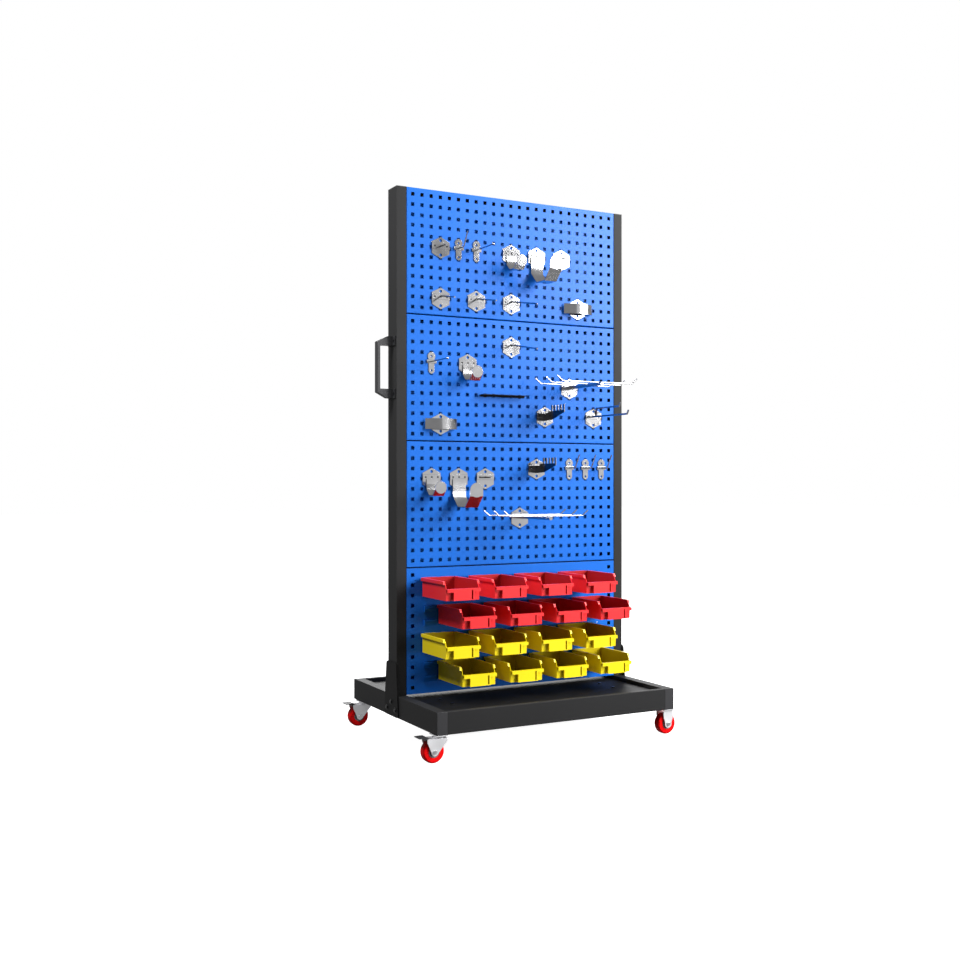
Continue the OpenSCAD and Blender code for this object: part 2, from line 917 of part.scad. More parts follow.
module hub(sx, sy) {
    dish = 3;
    color(grey)
        wheel_place(sx, sy)
            difference() {
                union() {
                    cylinder(r = hub_r, h = wheel_w, center = true);
                    cylinder(r = boss_r, h = 2 * (fork_in - 0.5), center = true);
                }
                cylinder(r = axle_r + run_fit, h = 4 * fork_out, center = true);
                for (s = sides)
                    translate([0, 0, s * wheel_w / 2])
                        difference() {
                            cylinder(r = hub_r - 4, h = 2 * dish, center = true);
                            cylinder(r = boss_r, h = 3 * dish, center = true);
                        }
            }
}

// Bins

// The open space of a bin, behind its front wall and up through its top
module bin_space() {
    x_prism(ahead([[bin_back + bin_wall, bin_wall], [bin_floor_end - bin_wall, bin_wall],
                   [bin_lip_end - bin_wall, bin_front_h], [2 * bin_lip_end, bin_front_h],
                   [2 * bin_lip_end, 2 * bin_h], [bin_back + bin_wall, 2 * bin_h]]), bin_w - 2 * bin_wall);
}

// The bands along the top of the two side walls
module bin_rim() {
    low = bin_h - rim_h;
    x_prism(ahead([[bin_back, low], [bin_edge(low), low], [bin_top_end, bin_h], [bin_back, bin_h]]),
            bin_w + 2 * rim_out);
}

// A bent edge in front of the front wall: level on top, then down to z
module front_edge(z, w) {
    face = bin_lip_end + lip_out;
    under = bin_front_h - bin_wall;
    root = bin_floor_end - bin_wall / 2;
    x_prism(ahead([[root, under], [face - bin_wall, under], [face - bin_wall, z], [face, z],
                   [face, bin_front_h], [root, bin_front_h]]), w);
}

// The lip along the front wall, with the label plate and its two ribs
module bin_lip() {
    low = 1;
    face = bin_lip_end + lip_out;
    root = bin_floor_end - bin_wall / 2;
    top = bin_front_h - bin_wall / 2;
    front_edge(bin_front_h - rim_h, bin_w);
    front_edge(low, label_w);
    for (s = sides)
        translate([s * (label_w - bin_wall) / 2, 0, 0])
            x_prism(ahead([[root, low], [face, low], [face, top], [root, top]]), bin_wall);
}

// A narrow slot through the label plate, near its right end
module label_slot_cut() {
    translate([label_w / 2 - 2 * label_slot, -bin_lip_end - 2 * lip_out, 4])
        cube([label_slot, 1.5 * lip_out, bin_front_h - rim_h / 2 - 4]);
}

// Two tabs that drop behind two neighbouring louvres
module bin_tabs() {
    inside = sheet_t;
    for (s = sides)
        translate([s * louvre_pitch_x / 2, 0, 0])
            x_prism(ahead([[inside, bin_h - tab_t - tab_h], [inside + tab_t, bin_h - tab_t - tab_h],
                           [inside + tab_t, bin_h - tab_t], [bin_back + bin_wall / 2, bin_h - tab_t],
                           [bin_back + bin_wall / 2, bin_h], [inside, bin_h]]), tab_w);
}

module bin(row, col) {
    color(row < 2 ? red : yellow)
        translate([bin_x(row, col), front_y, bin_z(row)]) {
            difference() {
                union() {
                    x_prism(ahead([[bin_back, 0], [bin_floor_end, 0], [bin_lip_end, bin_front_h],
                                   [bin_top_end, bin_h], [bin_back, bin_h]]), bin_w);
                    bin_rim();
                    bin_lip();
                }
                bin_space();
                label_slot_cut();
            }
            bin_tabs();
        }
}

// Hooks and holders

// Place at a hole, on the front face of its panel
module at_hole(spot) {
    translate([hole_x(spot[1]), front_y, hole_z(spot[0], spot[2])])
        children();
}

// The peg through a hole and the tongue that hangs behind the sheet
module peg() {
    tongue = sheet_t + 0.3;
    box([-lug / 2, -hook_plate_t / 2, -lug / 2], [lug / 2, tongue + 2, lug / 2]);
    box([-lug / 2, tongue, -lug / 2 - 12], [lug / 2, tongue + 2, lug / 2]);
}

// A six-sided plate with two holes and a raised band
module hook_plate() {
    w = plate_wide / 2;
    h = plate_high / 2;
    shoulder = h - plate_wide / 4;
    band_low = rod_z + 1 - band_h / 2;
    ahead_of_panel(hook_plate_t)
        difference() {
            polygon([[0, -h], [w, -shoulder], [w, shoulder], [0, h], [-w, shoulder], [-w, -shoulder]]);
            for (s = sides)
                translate([0, s * 0.67 * h])
                    circle(r = 5.5);
        }
    difference() {
        box([-w, -band_front, band_low], [w, -hook_plate_t / 2, band_low + band_h]);
        for (x = [-band_hole_x, 0, band_hole_x])
            translate([x, -band_front, band_low + band_h / 2])
                rotate([90, 0, 0])
                    cylinder(r = band_hole_r, h = 2 * band_out, center = true);
    }
    peg();
}

// A slim plate with a ring at its top
module ring_plate() {
    h = plate_high / 2;
    ring = 16;
    foot = 12;
    ahead_of_panel(hook_plate_t)
        difference() {
            union() {
                translate([0, h - ring])
                    circle(r = ring);
                translate([0, foot - h])
                    circle(r = foot);
                translate([-foot, foot - h])
                    square([2 * foot, 2 * h - foot - ring]);
            }
            for (z = [h - ring, foot - h])
                translate([0, z])
                    circle(r = 4);
        }
    box([-20, -band_front, rod_z - 7], [20, -hook_plate_t / 2, rod_z + 7]);
    peg();
}

module single_hooks() {
    color(bright)
        for (i = [0 : len(single_at) - 1])
            at_hole(single_at[i]) {
                tip_z = single_z - (single_reach[i] - 1) * tan(single_fall);
                hook_plate();
                rod([0, -1, single_z], [0, -single_reach[i], tip_z], rod_r);
            }
}

module short_hooks() {
    color(bright)
        for (spot = short_at)
            at_hole(spot) {
                hook_plate();
                rod([0, -1, rod_z], [0, -short_reach, rod_z], rod_r);
            }
}

module rod_hooks() {
    color(bright)
        for (spot = rod_at)
            at_hole(spot) {
                ring_plate();
                rod([0, -1, rod_z], [0, -rod_reach, rod_z], ring_wire_r);
                translate([0, -rod_reach, rod_z])
                    sphere(r = ball_r);
            }
}

module ring_hooks() {
    bend = [0, -ring_reach, rod_z];
    tip = bend + ring_tip * [0, -cos(ring_angle), sin(ring_angle)];
    color(bright)
        for (spot = ring_at)
            at_hole(spot) {
                ring_plate();
                wire([[0, -1, rod_z], bend, tip], ring_wire_r);
            }
}

// A cradle of bent strap: wall, slope down, level floor, slope up, rounded tip
module pipe_holder(w, drop, slope, floor_l, tip) {
    wall = band_front;
    low = -drop - slope;
    out = wall + 2 * slope + floor_l;
    hook_plate();
    x_prism(ahead(strap([[wall, 0], [wall, -drop], [wall + slope, low], [wall + slope + floor_l, low],
                         [out, -drop], [out, strap_t - drop]], strap_t)), w);
    box([-w / 2, -wall - strap_t, -strap_t], [w / 2, -hook_plate_t / 2, 0]);
    translate([0, -out + strap_t, 0])
        ahead_of_panel(strap_t) {
            translate([-w / 2, -drop])
                square([w, tip - w / 2]);
            translate([0, tip - w / 2 - drop])
                circle(r = w / 2);
        }
}

module small_pipe_holders() {
    color(bright)
        for (spot = small_pipe_at)
            at_hole(spot)
                pipe_holder(small_strap_w, small_drop, small_slope, small_floor, small_tip);
}

module large_pipe_holders() {
    color(bright)
        for (spot = large_pipe_at)
            at_hole(spot)
                pipe_holder(large_strap_w, large_drop, large_slope, large_floor, large_tip);
}

// Three cross wires with upturned ends on one round arm
module wire_shelves() {
    rise = 20;
    run = 24;
    wire_z = rod_z + shelf_arm_r;
    half = shelf_w / 2;
    color(bright)
        for (spot = shelf_at)
            at_hole(spot) {
                hook_plate();
                rod([0, -1, rod_z], [0, -shelf_reach, rod_z], shelf_arm_r);
                for (y = shelf_wires)
                    wire([[-half - run, -y, wire_z + rise], [-half, -y, wire_z],
                          [half, -y, wire_z], [half + run, -y, wire_z + rise]], shelf_wire_r);
            }
}

// A bowed band on a short stand-off
module strip_loops() {
    bow = 22;
    peak = 30;
    t = 2;
    bow_r = (loop_w * loop_w / 4 + bow * bow) / (2 * bow);
    half = asin(loop_w / 2 / bow_r);
    color(bright)
        for (spot = loop_at)
            at_hole(spot) {
                translate([0, bow_r - peak, 0])
                    rotate([0, 0, -90 - half])
                        rotate_extrude(angle = 2 * half, $fn = 96)
                            translate([bow_r - t, -loop_h / 2])
                                square([t, loop_h]);
                box([-12, t / 2 - peak, -8], [12, -hook_plate_t / 2, 8]);
                hook_plate();
            }
}

// A fin square to the panel with a row of upright tines
module comb_holders() {
    fin_t = 2.5;
    fin_top = 21;
    tine_w = 8;
    tine_h = 22;
    tine_pitch = 22;
    first = 52;
    tines = 5;
    last = first + (tines - 1) * tine_pitch + tine_w;
    color(bright)
        for (spot = comb_at)
            at_hole(spot) {
                hook_plate();
                x_prism(ahead([[1, -16], [61, -13], [last, fin_top - 8], [last, fin_top], [28, fin_top],
                               [28, fin_top - 6], [1, fin_top - 6]]), fin_t);
                for (i = [0 : tines - 1])
                    x_prism(ahead([[first + i * tine_pitch, fin_top - 1],
                                   [first + i * tine_pitch, fin_top + tine_h],
                                   [first + i * tine_pitch + tine_w, fin_top + tine_h],
                                   [first + i * tine_pitch + tine_w, fin_top - 1]]), fin_t);
            }
}

// Two prongs, the upper one on a short leg
module prong_hook() {
    low_x = -20;
    high_x = 13;
    step = 36;
    low_reach = 265;
    high_reach = 165;
    tip_run = 9;
    tip_rise = 14;
    leg = band_front + prong_r / 2;
    color(bright)
        at_hole(prong_at) {
            hook_plate();
            wire([[low_x, -1, rod_z], [low_x, -low_reach, rod_z],
                  [low_x, -low_reach - tip_run, rod_z + tip_rise]], prong_r);
            wire([[high_x, -leg, rod_z], [high_x, -leg, rod_z + step],
                  [high_x, -high_reach, rod_z + step],
                  [high_x, -high_reach - tip_run, rod_z + step + tip_rise]], prong_r);
        }
}

// An angle strip with a row of round holes in its shelf
module holed_strip() {
    low = -5;
    top = 3;
    shelf_d = 30;
    t = 2;
    color(black)
        at_hole(strip_at) {
            difference() {
                union() {
                    box([-strip_l / 2, -t, low], [strip_l / 2, 0, top]);
                    box([-strip_l / 2, -shelf_d, top - t], [strip_l / 2, 0, top]);
                }
                for (i = [0 : strip_holes - 1])
                    translate([(i - (strip_holes - 1) / 2) * strip_pitch, -(shelf_d + t) / 2, top])
                        cylinder(r = strip_hole_r, h = 4 * t, center = true);
            }
            for (s = sides)
                translate([s * strip_lug_cols * hole_pitch, t / 2, 0])
                    peg();
        }
}

// What is drawn

base_side_rails();
base_cross_rails();
tray_bearers();
tray_sheet();
uprights();
tube_caps();
side_brackets();
cross_tubes();
peg_panel(0);  // peg_panel_top
peg_panel(1);  // peg_panel_middle
peg_panel(2);  // peg_panel_lower
louvre_panel(bin_panel);
rear_panels();
push_handle();
frame_bolts();
swivel_plates();
swivel_fork(-1);  // front_swivel_fork
swivel_fork(1);  // rear_swivel_fork
swivel_axle(-1);  // front_swivel_axle
swivel_axle(1);  // rear_swivel_axle
brake_pedal(-1);  // front_brake_pedal
brake_pedal(1);  // rear_brake_pedal
rigid_forks();
rigid_axles();
caster_bolts();
tyre(-1, -1);  // front_left_tyre
tyre(-1, 1);  // rear_left_tyre
tyre(1, -1);  // front_right_tyre
tyre(1, 1);  // rear_right_tyre
hub(-1, -1);  // front_left_hub
hub(-1, 1);  // rear_left_hub
hub(1, -1);  // front_right_hub
hub(1, 1);  // rear_right_hub
for (row = [0 : bin_rows - 1], col = [0 : bin_cols - 1])
    bin(row, col);
single_hooks();
short_hooks();
rod_hooks();
ring_hooks();
small_pipe_holders();
large_pipe_holders();
wire_shelves();
strip_loops();
comb_holders();
prong_hook();
holed_strip();
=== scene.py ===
"""Looks of a wheeled pegboard tool rack with hanging bins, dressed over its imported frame.

Lengths are metres in the frame's own axes: +Z up, the floor at z = 0, the bins face -Y.
"""

import json
import math

import bmesh
import bpy
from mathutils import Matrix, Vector


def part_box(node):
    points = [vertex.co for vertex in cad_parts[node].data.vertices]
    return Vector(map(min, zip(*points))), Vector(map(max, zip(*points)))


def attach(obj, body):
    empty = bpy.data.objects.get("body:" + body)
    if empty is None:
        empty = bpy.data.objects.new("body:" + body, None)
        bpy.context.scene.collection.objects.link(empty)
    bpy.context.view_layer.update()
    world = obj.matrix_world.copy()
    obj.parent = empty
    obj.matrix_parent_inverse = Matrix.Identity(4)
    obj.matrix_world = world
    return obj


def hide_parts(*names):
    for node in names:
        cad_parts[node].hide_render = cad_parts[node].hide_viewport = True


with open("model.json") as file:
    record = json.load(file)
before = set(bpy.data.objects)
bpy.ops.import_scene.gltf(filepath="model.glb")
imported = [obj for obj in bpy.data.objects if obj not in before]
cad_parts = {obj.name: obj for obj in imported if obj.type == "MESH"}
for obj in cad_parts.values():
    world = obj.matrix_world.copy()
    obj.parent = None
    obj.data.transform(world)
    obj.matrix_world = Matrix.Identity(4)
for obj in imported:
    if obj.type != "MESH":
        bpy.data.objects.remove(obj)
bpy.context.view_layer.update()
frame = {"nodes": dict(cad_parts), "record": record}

MM = 0.001
RECORD = frame["record"]
BODY_OF = {node: body for body, nodes in RECORD["behaviour"]["bodies"].items() for node in nodes}
SLOT_OF = {part["node"]: part["material_slot"] for part in RECORD["subparts"]}
BINS = [f"bin_{row}{column}" for row in "abcd" for column in range(1, 5)]

# Peg panels
HOLE_COLUMNS = 24
HOLE_ROWS = 12
HOLE_PITCH = 38 * MM
HOLE_SIDE = 14 * MM
SHEET = 1.5 * MM
FOLD_RADIUS = 2.5 * MM
FOLD_STEPS = 4
RIM_SLACK = 0.01 * MM

# Bins and hook plates
# How far before a face to look, and the front band left out, when a bin's inner faces are marked for painted
# shade
BIN_PROBE = 20 * MM
BIN_LIP = 16 * MM
BAND_FRONT = 5 * MM
BAND_SHORTEST = 30 * MM
# Small round floors facing front, the dimples in a hook's plate, are found by these limits and marked for
# painted shade
DIMPLE_AREA = 45 * MM * MM
DIMPLE_CORNERS = 10

# Bolts by the inputs of their tree: head and washer are radii, and the top is a share of the head
HEX_BOLT = {"Head": 8 * MM, "Height": 5 * MM, "Corners": 6, "Top Share": 0.84, "Washer": 10.5 * MM}
DOME_BOLT = {"Head": 7.5 * MM, "Height": 4 * MM, "Corners": 24, "Top Share": 0.6, "Washer": 9 * MM}
HANDLE_SCREW = {"Head": 4.6 * MM, "Height": 2.4 * MM, "Corners": 20, "Top Share": 0.6, "Washer": 5 * MM}
PLATE_BOLT = {"Head": 5 * MM, "Height": 3 * MM, "Corners": 6, "Top Share": 0.84, "Washer": 6 * MM}
WALL_SHARE = 0.7
WASHER_SHARE = 0.16
WASHER_CORNERS = 24

# Wheels
WHEEL_STEPS = 72
SHOULDER_STEPS = 8
TYRE_SHOULDER = 7 * MM
TYRE_BEVEL_OUT = 2 * MM
TYRE_BEVEL_IN = 1.2 * MM
HUB_RIM = 4 * MM
HUB_RIM_SLOPE = 0.6 * MM
HUB_DISH = 3 * MM
HUB_BORE = 5.05 * MM
HUB_BOSS = 10 * MM
HUB_BOSS_BEVEL = 1 * MM

# Rounds on edges, and how long an edge is where only long ones are rounded
TUBE_ROUND = 2.5 * MM
SHEET_ROUND = 0.5 * MM
FITTING_ROUND = 1.0 * MM
HANDLE_ROUND = 1.6 * MM
CASTER_ROUND = 0.6 * MM
PEDAL_ROUND = 1.2 * MM
BIN_ROUND = 0.8 * MM
BAND_ROUND = 0.8 * MM
HOOK_ROUND = 0.4 * MM
LONG_EDGE = 300 * MM
TRAY_EDGE = 100 * MM

# Limits for telling points, edges and faces apart
DOUBLES = 1e-6
NEAR = 0.1 * MM
FLAT_ANGLE = math.radians(0.5)
SHARP_ANGLE = math.radians(35)
CREASE_ANGLE = math.radians(32)
FACING_FRONT = -0.99
FACING_DOWN = -0.5

# Camera and light
CAMERA_PLACE = (-2.2137, -3.9272, 0.9723)
CAMERA_TURN = math.radians(27.91)
CAMERA_LENS = 43.15
SENSOR_WIDTH = 36.0
STAGE_SIDE = 60.0
FLOOR_GLOW = 0.97
SKY_BASE = 0.12
SKY_SEEN = 0.88
SKY_SHINY = 0.3
WHITE = (1, 1, 1, 1)

# A Mix node's sockets for colours: the factor, both colours and the result
MIX_FACTOR, MIX_FIRST, MIX_SECOND, MIX_RESULT = 0, 6, 7, 2


class Value:
    """A node's socket that Python operators can do sums with."""

    def __init__(self, graph, socket):
        self.graph = graph
        self.socket = socket

    def sum(self, operation, *terms):
        """Adds a Math node on the terms."""
        return self.graph.node("ShaderNodeMath", {"operation": operation}, dict(enumerate(terms)))

    def output(self, name):
        """Another output of the same node."""
        return Value(self.graph, self.socket.node.outputs[name])

    def __add__(self, other):
        return self.sum("ADD", self, other)

    def __radd__(self, other):
        return self.sum("ADD", other, self)

    def __sub__(self, other):
        return self.sum("SUBTRACT", self, other)

    def __rsub__(self, other):
        return self.sum("SUBTRACT", other, self)

    def __mul__(self, other):
        return self.sum("MULTIPLY", self, other)

    def __rmul__(self, other):
        return self.sum("MULTIPLY", other, self)

    def __truediv__(self, other):
        return self.sum("DIVIDE", self, other)

    def __rtruediv__(self, other):
        return self.sum("DIVIDE", other, self)

    def __mod__(self, other):
        return self.sum("FLOORED_MODULO", self, other)

    def __rmod__(self, other):
        return self.sum("FLOORED_MODULO", other, self)

    def __gt__(self, other):
        return self.sum("GREATER_THAN", self, other)

    def __lt__(self, other):
        return self.sum("LESS_THAN", self, other)

    def __abs__(self):
        return self.sum("ABSOLUTE", self)

    def sign(self):
        return self.sum("SIGN", self)

    def floor(self):
        return self.sum("FLOOR", self)

    def larger(self, other):
        return self.sum("MAXIMUM", self, other)

    def clamped(self, low, high):
        return self.sum("MINIMUM", self.larger(low), high)


class Graph:
    """A node tree, for a material, a shape or the surround."""

    def __init__(self, tree):
        self.tree = tree

    def node(self, kind, settings=None, inputs=None, output=0):
        """Adds a node: its settings first, then the values or links of its sockets."""
        made = self.tree.nodes.new(kind)
        for name, setting in (settings or {}).items():
            setattr(made, name, setting)
        for key, value in (inputs or {}).items():
            if isinstance(value, Value):
                self.tree.links.new(value.socket, made.inputs[key])
            else:
                made.inputs[key].default_value = value
        return Value(self, made.outputs[output]) if made.outputs else made

    def vector(self, x, y, z):
        return self.node("ShaderNodeCombineXYZ", inputs={"X": x, "Y": y, "Z": z})

    def mix_colours(self, factor, first, second):
        return self.node("ShaderNodeMix", {"data_type": "RGBA"},
                         {MIX_FACTOR: factor, MIX_FIRST: first, MIX_SECOND: second}, output=MIX_RESULT)


class Finish(Graph):
    """A material, built from Object coordinates so that its pattern stays on the piece."""

    def __init__(self, name):
        self.material = bpy.data.materials.new(name)
        self.material.use_nodes = True
        super().__init__(self.material.node_tree)
        self.tree.nodes.clear()
        self.place = self.node("ShaderNodeTexCoord", output="Object")

    def noise(self, scale, detail, stretch=(1, 1, 1), rough=0.55):
        place = self.place
        if stretch != (1, 1, 1):
            place = self.node("ShaderNodeMapping", inputs={"Vector": place, "Scale": stretch})
        return self.node("ShaderNodeTexNoise",
                         inputs={"Vector": place, "Scale": scale, "Detail": detail, "Roughness": rough})

    def painted_shade(self):
        """1 on the faces that a piece marks for painted shade, 0 elsewhere."""
        return self.node("ShaderNodeAttribute", {"attribute_name": "painted_shade"}, output="Fac")

    def ramp(self, value, low, high):
        """0 below low, 1 above high."""
        return self.node("ShaderNodeMapRange", inputs={"Value": value, "From Min": low, "From Max": high})

    def bump(self, height, depth, strength):
        return self.node("ShaderNodeBump",
                         inputs={"Height": height, "Distance": depth, "Strength": strength})

    def close(self, specular=0.5, **inputs):
        """Feeds the surface shader. Names use _ for a space."""
        named = {name.replace("_", " "): value for name, value in inputs.items()}
        surface = self.node("ShaderNodeBsdfPrincipled", inputs={"Specular IOR Level": specular, **named})
        self.node("ShaderNodeOutputMaterial", inputs={"Surface": surface})
        return self.material


def tone(colour, factor):
    """A colour made darker or lighter, with its alpha."""
    return tuple(min(1.0, channel * factor) for channel in colour) + (1.0,)


def powder_coat(name, colour, roughness, grain_depth, specular):
    """Baked powder paint: a fine orange-peel grain, slow shifts of tone and a few rubbed places."""
    finish = Finish(name)
    broad = finish.noise(scale=2.3, detail=2.0)
    peel = finish.noise(scale=420.0, detail=2.0)
    rubbed = finish.ramp(finish.noise(scale=9.0, detail=6.0, rough=0.7), low=0.62, high=0.8)
    painted = finish.mix_colours(broad, tone(colour, 0.9), tone(colour, 1.08))
    base = finish.mix_colours(rubbed * 0.35, painted, tone(colour, 1.35))
    return finish.close(specular, Base_Color=base,
                        Roughness=roughness + (peel - 0.5) * 0.12 - rubbed * 0.06,
                        Normal=finish.bump(peel, depth=grain_depth, strength=0.5))


def bright_plate(name, colour, roughness, streak):
    """Plated steel: faint drawn streaks, cloudy polish and near-black painted shade on the faces marked as
    shaded.
    """
    finish = Finish(name)
    cloud = finish.noise(scale=26.0, detail=4.0)
    streaks = finish.noise(scale=60.0, detail=3.0, stretch=(1, 1, streak))
    base = finish.mix_colours(cloud, tone(colour, 0.86), tone(colour, 1.06))
    # Painted shade: the marked faces, a plate's dimples, go nearly black
    base = finish.mix_colours(finish.painted_shade() * 0.85, base, tone(colour, 0.05))
    return finish.close(Base_Color=base, Metallic=1.0,
                        Roughness=roughness + (cloud - 0.5) * 0.14 + (streaks - 0.5) * 0.1,
                        Normal=finish.bump(streaks, depth=0.04 * MM, strength=0.35))


def moulded(name, colour, roughness, grain_depth, scuff, specular=0.4):
    """Moulded plastic: a fine skin, cloudy pigment, light scuffs and painted shade on the faces marked as
    shaded.
    """
    finish = Finish(name)
    pigment = finish.noise(scale=14.0, detail=3.0)
    skin = finish.noise(scale=900.0, detail=2.0)
    scratches = finish.noise(scale=70.0, detail=6.0, stretch=(1, 6, 3), rough=0.75)
    scuffs = finish.ramp(scratches, low=0.64, high=0.78)
    base = finish.mix_colours(pigment, tone(colour, 0.93), tone(colour, 1.05))
    # Painted shade: the marked faces, a bin's inner faces, mix 0.6 of the way to a quarter of the colour
    base = finish.mix_colours(finish.painted_shade() * 0.6, base, tone(colour, 0.25))
    worn = finish.mix_colours(scuffs * scuff, base, tone(colour, 1.4))
    return finish.close(specular, Base_Color=worn,
                        Roughness=roughness + (skin - 0.5) * 0.1 + scuffs * 0.12,
                        Normal=finish.bump(skin, depth=grain_depth, strength=0.4))


FINISHES = {
    "frame_paint": powder_coat("dark_powder_coat", (0.0175, 0.0175, 0.018),
                               roughness=0.56, grain_depth=0.12 * MM, specular=0.1),
    "black_paint": powder_coat("black_powder_coat", (0.003, 0.003, 0.0033),
                               roughness=0.6, grain_depth=0.1 * MM, specular=0.16),
    "panel_paint": powder_coat("blue_powder_coat", (0.006, 0.105, 0.47),
                               roughness=0.36, grain_depth=0.08 * MM, specular=0.14),
    "black_plastic": moulded("black_moulding", (0.018, 0.018, 0.02),
                             roughness=0.5, grain_depth=0.06 * MM, scuff=0.3),
    "zinc": bright_plate("zinc_plate", (0.8, 0.8, 0.82), roughness=0.52, streak=0.2),
    "black_oxide": bright_plate("black_oxide", (0.05, 0.05, 0.052), roughness=0.35, streak=1.0),
    "bolt_steel": bright_plate("bolt_plate", (0.66, 0.66, 0.67), roughness=0.28, streak=1.0),
    "bright_plating": bright_plate("bright_nickel", (0.43, 0.43, 0.44), roughness=0.15, streak=0.15),
    "bin_red": moulded("red_moulding", (0.66, 0.02, 0.024),
                       roughness=0.36, grain_depth=0.03 * MM, scuff=0.12, specular=0.3),
    "bin_yellow": moulded("yellow_moulding", (0.73, 0.57, 0.004),
                          roughness=0.36, grain_depth=0.03 * MM, scuff=0.1, specular=0.3),
    "tyre_red": moulded("red_tread", (0.72, 0.002, 0.003),
                        roughness=0.5, grain_depth=0.05 * MM, scuff=0.08, specular=0.1),
    "hub_plastic": moulded("grey_hub", (0.16, 0.16, 0.17),
                           roughness=0.45, grain_depth=0.04 * MM, scuff=0.2),
}


def mesh_of(obj):
    """The evaluated shape of an object as a plain mesh. The object goes."""
    graph = bpy.context.evaluated_depsgraph_get()
    mesh = bpy.data.meshes.new_from_object(obj.evaluated_get(graph))
    bpy.data.objects.remove(obj)
    return mesh


def new_object(name, mesh):
    obj = bpy.data.objects.new(name, mesh)
    bpy.context.scene.collection.objects.link(obj)
    return obj


def flat_faced(mesh):
    """The mesh with its wide faces shaded flat, and only the rounds between them shaded smooth."""
    obj = new_object("shading", mesh)
    obj.modifiers.new("weights", "WEIGHTED_NORMAL").keep_sharp = True
    return mesh_of(obj)


def dress(node, mesh):
    """Puts a finished mesh in place of a CAD node, on its body and in its slot's finish."""
    slot = SLOT_OF[node]
    mesh.materials.clear()
    mesh.materials.append(FINISHES[slot])
    mesh.shade_smooth()
    mesh.set_sharp_from_angle(angle=CREASE_ANGLE)
    piece = new_object(f"{node}_finished", flat_faced(mesh))
    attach(piece, BODY_OF[node])
    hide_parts(node)


def node_shape(node):
    """A CAD node's mesh as a shape to work on: doubles merged and flat faces made whole."""
    shape = bmesh.new()
    shape.from_mesh(frame["nodes"][node].data)
    bmesh.ops.remove_doubles(shape, verts=shape.verts, dist=DOUBLES)
    bmesh.ops.dissolve_limit(shape, angle_limit=FLAT_ANGLE, verts=shape.verts, edges=shape.edges)
    return shape


def shape_mesh(name, shape):
    mesh = bpy.data.meshes.new(name)
    shape.to_mesh(mesh)
    shape.free()
    return mesh


def round_edges(shape, radius, segments=2, shortest=0.0, outer_only=False, chosen=None):
    """Rounds a shape's sharp edges, or only its long, outer or chosen ones."""
    sharp = [edge for edge in shape.edges
             if len(edge.link_faces) == 2 and edge.calc_length() > shortest
             and edge.calc_face_angle(0.0) > SHARP_ANGLE
             and (edge.is_convex or not outer_only) and (chosen is None or chosen(edge))]
    bmesh.ops.bevel(shape, geom=sharp, offset=radius, offset_type="OFFSET", segments=segments,
                    profile=0.5, affect="EDGES", clamp_overlap=True, loop_slide=True)


def soften(node, radius, segments=2, shortest=0.0, outer_only=False):
    """Dresses a CAD node with its sharp edges rounded."""
    shape = node_shape(node)
    round_edges(shape, radius, segments, shortest, outer_only)
    dress(node, shape_mesh(node, shape))


def shape_tree(name, sizes):
    """A Geometry Nodes tree with a named input for each size. Gives the graph and the inputs as values."""
    tree = bpy.data.node_groups.new(name, "GeometryNodeTree")
    tree.interface.new_socket("Geometry", in_out="INPUT", socket_type="NodeSocketGeometry")
    for size, kind in sizes.items():
        tree.interface.new_socket(size, in_out="INPUT", socket_type=f"NodeSocket{kind}")
    tree.interface.new_socket("Geometry", in_out="OUTPUT", socket_type="NodeSocketGeometry")
    graph = Graph(tree)
    start = graph.node("NodeGroupInput")
    return graph, {socket: start.output(socket) for socket in ["Geometry", *sizes]}


def end_tree(graph, shape, material):
    """Ends a tree, with its instances made real and coated in a material."""
    whole = graph.node("GeometryNodeRealizeInstances", inputs={"Geometry": shape})
    coated = graph.node("GeometryNodeSetMaterial", inputs={"Geometry": whole, "Material": material})
    graph.node("NodeGroupOutput", inputs={"Geometry": coated})
    return graph.tree


def grow(tree, sizes, mesh=None):
    """Runs a tree on a mesh with the sizes given, and returns the plain result."""
    obj = new_object("growing", mesh or bpy.data.meshes.new("start"))
    modifier = obj.modifiers.new("shape", "NODES")
    modifier.node_group = tree
    sockets = {item.name: item.identifier for item in tree.interface.items_tree if item.in_out == "INPUT"}
    for name, size in sizes.items():
        modifier[sockets[name]] = size
    return mesh_of(obj)


